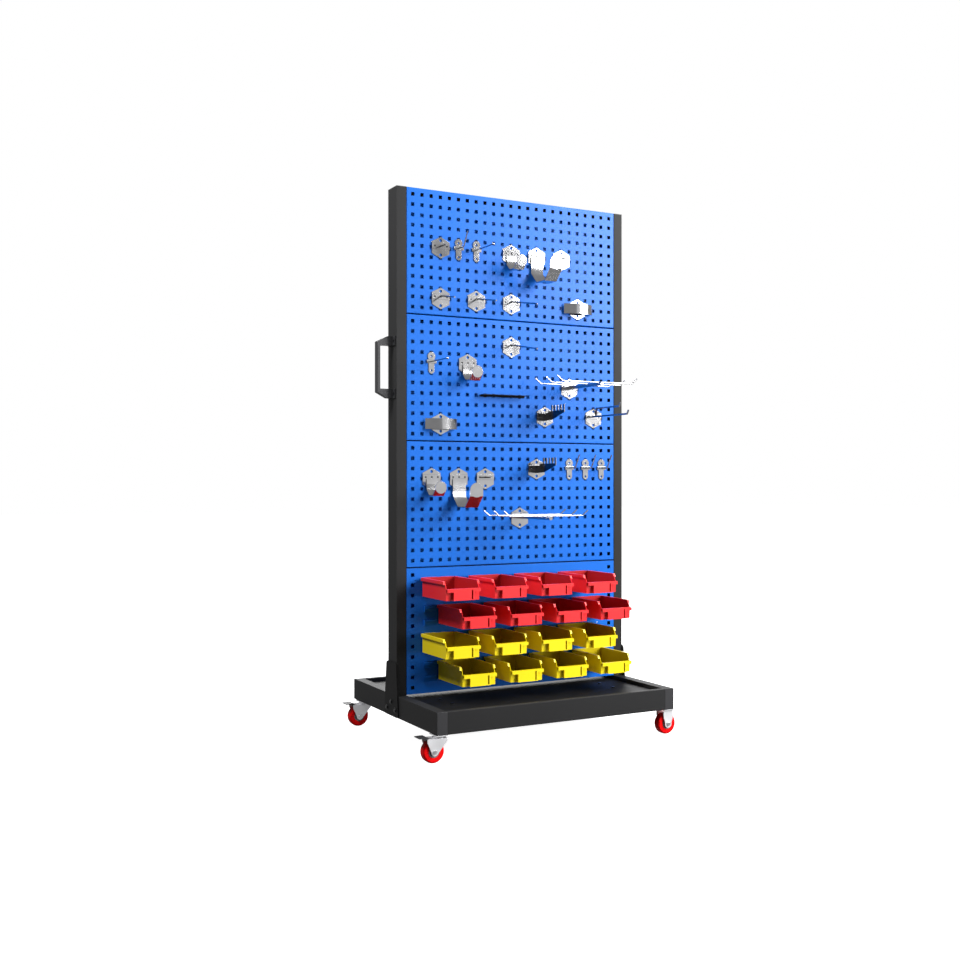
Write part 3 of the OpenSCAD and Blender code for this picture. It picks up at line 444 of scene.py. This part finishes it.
def pierced_sheet_tree(material):
    """A panel of square holes, with its edges folded back round a radius."""
    graph, size = shape_tree("pierced_sheet", {
        "Columns": "Int", "Rows": "Int", "Pitch": "Float", "Hole": "Float", "Margin": "Float",
        "Fold": "Float", "Fold Radius": "Float"})
    radius = size["Fold Radius"]

    # A plain grid with a cell for each hole and each bar beside it
    counts = {"X": size["Columns"], "Y": size["Rows"]}
    cells = {axis: count * 2 + 1 for axis, count in counts.items()}
    grid = graph.node("GeometryNodeMeshGrid", inputs={
        "Size X": cells["X"], "Size Y": cells["Y"],
        "Vertices X": cells["X"] + 1, "Vertices Y": cells["Y"] + 1})
    split = graph.node("ShaderNodeSeparateXYZ", inputs={0: graph.node("GeometryNodeInputPosition")})
    step = {axis: split.output(axis) + cells[axis] / 2 for axis in "XY"}

    # The cells of the holes go
    in_hole = (step["X"].floor() % 2) * (step["Y"].floor() % 2)
    web = graph.node("GeometryNodeDeleteGeometry", {"domain": "FACE"},
                     {"Geometry": grid, "Selection": in_hole > 0.5})

    # Grid lines move to the edges of the holes, and the outer ones to where the fold starts
    limit, place = {}, {}
    for axis in "XY":
        limit[axis] = (counts[axis] - 1) / 2 * size["Pitch"] + size["Margin"] - radius
        number = (step[axis] + 0.5).floor() - 1
        hole_middle = ((number / 2).floor() - (counts[axis] - 1) / 2) * size["Pitch"]
        hole_edge = hole_middle + (number % 2 - 0.5) * size["Hole"]
        place[axis] = hole_edge.clamped(0 - limit[axis], limit[axis])
    flat = graph.node("GeometryNodeSetPosition", inputs={
        "Geometry": web, "Position": graph.vector(place["X"], 0.0, place["Y"])})

    # The rim is drawn back round the fold's radius, and then straight
    split = graph.node("ShaderNodeSeparateXYZ", inputs={0: graph.node("GeometryNodeInputPosition")})
    now = {"X": split.output("X"), "Y": split.output("Z")}
    over = {axis: abs(now[axis]) - limit[axis] + RIM_SLACK for axis in "XY"}
    rim = over["X"].larger(over["Y"]) > 0.0
    outward = {axis: now[axis].sign() * (over[axis] > 0.0) for axis in "XY"}
    turns = [math.pi / 2 * k / FOLD_STEPS for k in range(FOLD_STEPS + 1)]
    moves = [(math.sin(b) - math.sin(a), math.cos(a) - math.cos(b)) for a, b in zip(turns, turns[1:])]
    folded, far = flat, rim
    for out, back in moves:
        shift = graph.vector(outward["X"] * out * radius, radius * back, outward["Y"] * out * radius)
        folded, far = fold_step(graph, folded, far, shift)
    folded, _ = fold_step(graph, folded, far, graph.vector(0.0, size["Fold"] - radius, 0.0))
    return end_tree(graph, folded, material)


def fold_step(graph, shape, chosen, shift):
    """Grows a strip from the chosen edges and moves its far edge. Gives the shape and that edge."""
    strip = graph.node("GeometryNodeExtrudeMesh", {"mode": "EDGES"},
                       {"Mesh": shape, "Selection": chosen, "Offset Scale": 0.0})
    far = strip.output("Top")
    moved = graph.node("GeometryNodeSetPosition",
                       inputs={"Geometry": strip, "Selection": far, "Offset": shift})
    return moved, far


def peg_panel(tree, node):
    """The pierced sheet in a CAD panel's place, with its wall behind the front face."""
    low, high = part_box(node)
    margin = (high.x - low.x - (HOLE_COLUMNS - 1) * HOLE_PITCH) / 2
    mesh = grow(tree, {"Columns": HOLE_COLUMNS, "Rows": HOLE_ROWS, "Pitch": HOLE_PITCH, "Hole": HOLE_SIDE,
                       "Margin": margin, "Fold": high.y - low.y, "Fold Radius": FOLD_RADIUS})
    shape = bmesh.new()
    shape.from_mesh(mesh)
    bmesh.ops.remove_doubles(shape, verts=shape.verts, dist=DOUBLES)
    bmesh.ops.translate(shape, verts=shape.verts,
                        vec=((low.x + high.x) / 2, low.y, (low.z + high.z) / 2))
    panel = new_object(node, shape_mesh(node, shape))
    wall = panel.modifiers.new("sheet", "SOLIDIFY")
    wall.thickness = SHEET
    wall.offset = -1.0
    wall.use_even_offset = True
    dress(node, mesh_of(panel))


def bolt_tree(material):
    """Bolt heads with a chamfer and a washer, one on each point, turned to the point's facing."""
    graph, size = shape_tree("bolt_heads", {
        "Head": "Float", "Height": "Float", "Corners": "Int", "Top Share": "Float", "Washer": "Float"})

    def cone(corners, bottom, top, height):
        return graph.node("GeometryNodeMeshCone", inputs={
            "Vertices": corners, "Radius Bottom": bottom, "Radius Top": top, "Depth": height})

    wall_height = WALL_SHARE * size["Height"]
    crown_height = (1 - WALL_SHARE) * size["Height"]
    wall = cone(size["Corners"], size["Head"], size["Head"], wall_height)
    crown = graph.node("GeometryNodeTransform", inputs={
        "Geometry": cone(size["Corners"], size["Head"], size["Head"] * size["Top Share"], crown_height),
        "Translation": graph.vector(0.0, 0.0, wall_height)})
    washer = cone(WASHER_CORNERS, size["Washer"], size["Washer"], WASHER_SHARE * size["Height"])
    joined = graph.node("GeometryNodeJoinGeometry")
    for piece in (wall, crown, washer):
        graph.tree.links.new(piece.socket, joined.socket.node.inputs[0])
    facing = graph.node("GeometryNodeInputNamedAttribute", {"data_type": "FLOAT_VECTOR"}, {"Name": "facing"})
    turned = graph.node("FunctionNodeAlignRotationToVector", {"axis": "Z"}, {"Vector": facing})
    heads = graph.node("GeometryNodeInstanceOnPoints", inputs={
        "Points": size["Geometry"], "Instance": joined, "Rotation": turned})
    return end_tree(graph, heads, material)


def bolt_heads(tree, places, sizes):
    """Heads at (place, facing) pairs."""
    mesh = bpy.data.meshes.new("bolt_places")
    mesh.from_pydata([place for place, _ in places], [], [])
    facing = mesh.attributes.new("facing", "FLOAT_VECTOR", "POINT")
    facing.data.foreach_set("vector", [part for _, way in places for part in way])
    return grow(tree, sizes, mesh)


def joined_mesh(name, meshes):
    """One mesh from several."""
    shape = bmesh.new()
    for mesh in meshes:
        shape.from_mesh(mesh)
    return shape_mesh(name, shape)


def solid_boxes(node):
    """The low and high corners of each separate solid in a node."""
    shape = node_shape(node)
    met, boxes = set(), []
    for first in shape.verts:
        if first in met:
            continue
        met.add(first)
        group, ends = [], [first]
        while ends:
            vert = ends.pop()
            group.append(vert.co)
            fresh = {edge.other_vert(vert) for edge in vert.link_edges} - met
            met |= fresh
            ends.extend(fresh)
        low = Vector([min(place[i] for place in group) for i in range(3)])
        high = Vector([max(place[i] for place in group) for i in range(3)])
        boxes.append((low, high))
    shape.free()
    return boxes


def frame_bolts(tree):
    """Hex bolts on the side brackets, domed bolts on the tray and screws on the handle."""
    hexes, domes, screws = [], [], []
    bracket_low, bracket_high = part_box("side_brackets")
    handle_low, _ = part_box("push_handle")
    for low, high in solid_boxes("frame_bolts"):
        middle = (low + high) / 2
        if middle.z > handle_low.z:
            seat = low.x + HANDLE_SCREW["Height"]
            screws.append((Vector((seat, middle.y, middle.z)), (-1, 0, 0)))
        elif high.x > bracket_high.x or low.x < bracket_low.x:
            side = 1 if middle.x > 0 else -1
            seat = bracket_high.x if side > 0 else bracket_low.x
            hexes.append((Vector((seat, middle.y, middle.z)), (side, 0, 0)))
        else:
            seat = high.z - DOME_BOLT["Height"]
            domes.append((Vector((middle.x, middle.y, seat)), (0, 0, 1)))
    kinds = ((hexes, HEX_BOLT), (domes, DOME_BOLT), (screws, HANDLE_SCREW))
    dress("frame_bolts", joined_mesh("frame_bolts", [bolt_heads(tree, *kind) for kind in kinds]))


def caster_bolts(tree):
    """Hex heads under the caster plates."""
    places = []
    for low, high in solid_boxes("caster_bolts"):
        middle = (low + high) / 2
        seat = low.z + PLATE_BOLT["Height"]
        places.append((Vector((middle.x, middle.y, seat)), (0, 0, -1)))
    dress("caster_bolts", bolt_heads(tree, places, PLATE_BOLT))


def lathe(name, half_profile, middle):
    """Turns a closed profile about a wheel's axle, from the (radius, y) points of its +Y half."""
    profile = half_profile + [(radius, -y) for radius, y in reversed(half_profile)]
    shape = bmesh.new()
    rings = []
    for k in range(WHEEL_STEPS):
        turn = 2 * math.pi * k / WHEEL_STEPS
        rings.append([shape.verts.new(middle + Vector((radius * math.cos(turn), y, radius * math.sin(turn))))
                      for radius, y in profile])
    for ring, following in zip(rings, rings[1:] + rings[:1]):
        for i in range(len(profile)):
            j = (i + 1) % len(profile)
            shape.faces.new((ring[i], ring[j], following[j], following[i]))
    bmesh.ops.recalc_face_normals(shape, faces=shape.faces)
    return shape_mesh(name, shape)


def shoulder_arc(centre):
    """A tyre's shoulder in its profile, from the side to the tread."""
    turns = [math.radians(90 - 90 * k / SHOULDER_STEPS) for k in range(SHOULDER_STEPS + 1)]
    return [(centre[0] + TYRE_SHOULDER * math.cos(turn), centre[1] + TYRE_SHOULDER * math.sin(turn))
            for turn in turns]


def wheel(place):
    """A red tread with round shoulders on a dished grey hub."""
    low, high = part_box(f"{place}_tyre")
    hub_low, hub_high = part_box(f"{place}_hub")
    middle = (low + high) / 2
    outer = (high.x - low.x) / 2
    half = (high.y - low.y) / 2
    hub = (hub_high.x - hub_low.x) / 2
    boss_half = (hub_high.y - hub_low.y) / 2
    rim = hub - HUB_RIM
    dish = half - HUB_DISH
    tyre_half = [(hub, half - TYRE_BEVEL_IN), (hub + TYRE_BEVEL_OUT, half),
                 *shoulder_arc((outer - TYRE_SHOULDER, half - TYRE_SHOULDER))]
    hub_half = [(HUB_BORE, boss_half), (HUB_BOSS - HUB_BOSS_BEVEL, boss_half),
                (HUB_BOSS, boss_half - HUB_BOSS_BEVEL), (HUB_BOSS, dish), (rim, dish),
                (rim + HUB_RIM_SLOPE, half), (hub, half)]
    dress(f"{place}_tyre", lathe("tyre", tyre_half, middle))
    dress(f"{place}_hub", lathe("hub", hub_half, middle))


def make_rack():
    """Base, uprights, panels, handle and bolts."""
    for node in ("base_side_rails", "base_cross_rails", "tray_bearers", "uprights", "cross_tubes"):
        soften(node, TUBE_ROUND, segments=3, shortest=LONG_EDGE, outer_only=True)
    soften("tray_sheet", SHEET_ROUND, shortest=TRAY_EDGE, outer_only=True)
    for node in ("side_brackets", "tube_caps"):
        soften(node, FITTING_ROUND)
    soften("push_handle", HANDLE_ROUND, segments=3)
    for node in ("louvre_panel", "rear_panels"):
        soften(node, SHEET_ROUND, shortest=LONG_EDGE, outer_only=True)
    panels = pierced_sheet_tree(FINISHES["panel_paint"])
    for node in ("peg_panel_top", "peg_panel_middle", "peg_panel_lower"):
        peg_panel(panels, node)
    bolts = bolt_tree(FINISHES["bolt_steel"])
    frame_bolts(bolts)
    caster_bolts(bolts)


def make_casters():
    """Plates, forks, axles, pedals and wheels."""
    for node in ("swivel_plates", "front_swivel_fork", "rear_swivel_fork", "rigid_forks",
                 "front_swivel_axle", "rear_swivel_axle", "rigid_axles"):
        soften(node, CASTER_ROUND)
    for node in ("front_brake_pedal", "rear_brake_pedal"):
        soften(node, PEDAL_ROUND, segments=3)
    for place in ("front_left", "rear_left", "front_right", "rear_right"):
        wheel(place)


def make_bins():
    """Sixteen bins with painted shade on the inner faces: those with more of the bin's box before them."""
    for node in BINS:
        low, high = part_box(node)
        shape = node_shape(node)
        painted_shade = shape.faces.layers.float.new("painted_shade")
        for face in shape.faces:
            before = face.calc_center_median() + face.normal * BIN_PROBE
            inside = (low.x < before.x < high.x and low.y + BIN_LIP < before.y < high.y
                      and low.z < before.z < high.z)
            # The inner faces, except those facing down, are marked for painted shade
            face[painted_shade] = float(inside and face.normal.z > FACING_DOWN)
        round_edges(shape, BIN_ROUND, outer_only=True)
        dress(node, shape_mesh(node, shape))


def is_dimple(face):
    """Whether a face is the floor of a round dimple in a hook's plate."""
    return (face.normal.y < FACING_FRONT and len(face.verts) > DIMPLE_CORNERS
            and face.calc_area() < DIMPLE_AREA and not any(edge.is_convex for edge in face.edges))


def make_hooks():
    """Plated hooks and holders: a round along each plate's pressed band, and painted shade in the dimples in
    it.
    """
    band_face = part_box("peg_panel_top")[0].y - BAND_FRONT

    def on_band(edge):
        start, end = (vert.co for vert in edge.verts)
        return (abs(start.y - band_face) < NEAR and abs(end.y - band_face) < NEAR
                and abs(start.z - end.z) < NEAR and abs(start.x - end.x) > BAND_SHORTEST)

    for node in ("single_hooks", "short_hooks", "rod_hooks", "ring_hooks", "small_pipe_holders",
                 "large_pipe_holders", "wire_shelves", "strip_loops", "comb_holders", "prong_hook"):
        shape = node_shape(node)
        painted_shade = shape.faces.layers.float.new("painted_shade")
        # The dimples' floors and the faces round them are marked for painted shade
        for face in filter(is_dimple, shape.faces):
            for edge in face.edges:
                for beside in edge.link_faces:
                    beside[painted_shade] = 1.0
        round_edges(shape, BAND_ROUND, segments=3, chosen=on_band)
        round_edges(shape, HOOK_ROUND, outer_only=True)
        dress(node, shape_mesh(node, shape))
    soften("holed_strip", HOOK_ROUND, outer_only=True)


def make_floor():
    """A wide pale floor that glows to the camera and gives the rack no light."""
    half = STAGE_SIDE / 2
    mesh = bpy.data.meshes.new("floor")
    mesh.from_pydata([(-half, -half, 0), (half, -half, 0), (half, half, 0), (-half, half, 0)], [],
                     [(0, 1, 2, 3)])
    pale = Finish("pale_floor")
    patch = pale.noise(scale=0.6, detail=2.0)
    mesh.materials.append(pale.close(
        Base_Color=pale.mix_colours(patch, (0.5, 0.5, 0.5, 1), (0.54, 0.54, 0.54, 1)), Roughness=0.8,
        Emission_Color=WHITE, Emission_Strength=FLOOR_GLOW))
    floor = new_object("floor", mesh)
    floor.visible_diffuse = False
    floor.visible_glossy = False


def area_light(name, place, target, side, power):
    """A soft square lamp, turned to its target."""
    lamp = bpy.data.lights.new(name, "AREA")
    lamp.shape = "SQUARE"
    lamp.size = side
    lamp.energy = power
    light = bpy.data.objects.new(name, lamp)
    light.location = place
    light.rotation_euler = (Vector(target) - Vector(place)).to_track_quat("-Z", "Y").to_euler()
    bpy.context.scene.collection.objects.link(light)
    return light


def make_light():
    """Soft lamps in a white surround, which is dimmer to the rack than to the camera."""
    world = bpy.data.worlds.new("studio")
    world.use_nodes = True
    studio = Graph(world.node_tree)
    studio.tree.nodes.clear()
    seen = studio.node("ShaderNodeLightPath", output="Is Camera Ray")
    shiny = seen.output("Is Glossy Ray")
    sky = studio.node("ShaderNodeBackground", inputs={
        "Color": WHITE, "Strength": seen * SKY_SEEN + shiny * SKY_SHINY + SKY_BASE})
    studio.node("ShaderNodeOutputWorld", inputs={"Surface": sky})
    bpy.context.scene.world = world

    area_light("key", place=(3.4, -2.9, 3.0), target=(0.0, 0.0, 1.1), side=2.6, power=570)
    area_light("fill", place=(-2.2, -0.45, 3.7), target=(-0.2, -0.15, 0.7), side=1.2, power=175)
    area_light("glare", place=(3.6, -4.1, 3.1), target=(0.4, 0.0, 1.9), side=1.3, power=12)
    front = area_light("front", place=(2.3, -3.9, 0.6), target=(0.0, -0.1, 0.4), side=2.2, power=132)
    front.visible_glossy = False
    card = area_light("card", place=(2.3, -3.9, 1.3), target=(0.0, 0.0, 1.2), side=2.4, power=11)
    card.visible_diffuse = False
    area_light("rear", place=(1.9, 3.8, 2.4), target=(0.0, 0.0, 1.0), side=2.6, power=170)


def make_camera():
    """A level camera at the photograph's viewing angle."""
    lens = bpy.data.cameras.new("camera")
    lens.lens = CAMERA_LENS
    lens.sensor_width = SENSOR_WIDTH
    camera = bpy.data.objects.new("camera", lens)
    camera.location = CAMERA_PLACE
    camera.rotation_euler = (math.radians(90), 0.0, -CAMERA_TURN)
    bpy.context.scene.collection.objects.link(camera)
    bpy.context.scene.camera = camera
    bpy.context.scene.view_settings.view_transform = "Standard"


make_rack()
make_casters()
make_bins()
make_hooks()
make_floor()
make_light()
make_camera()
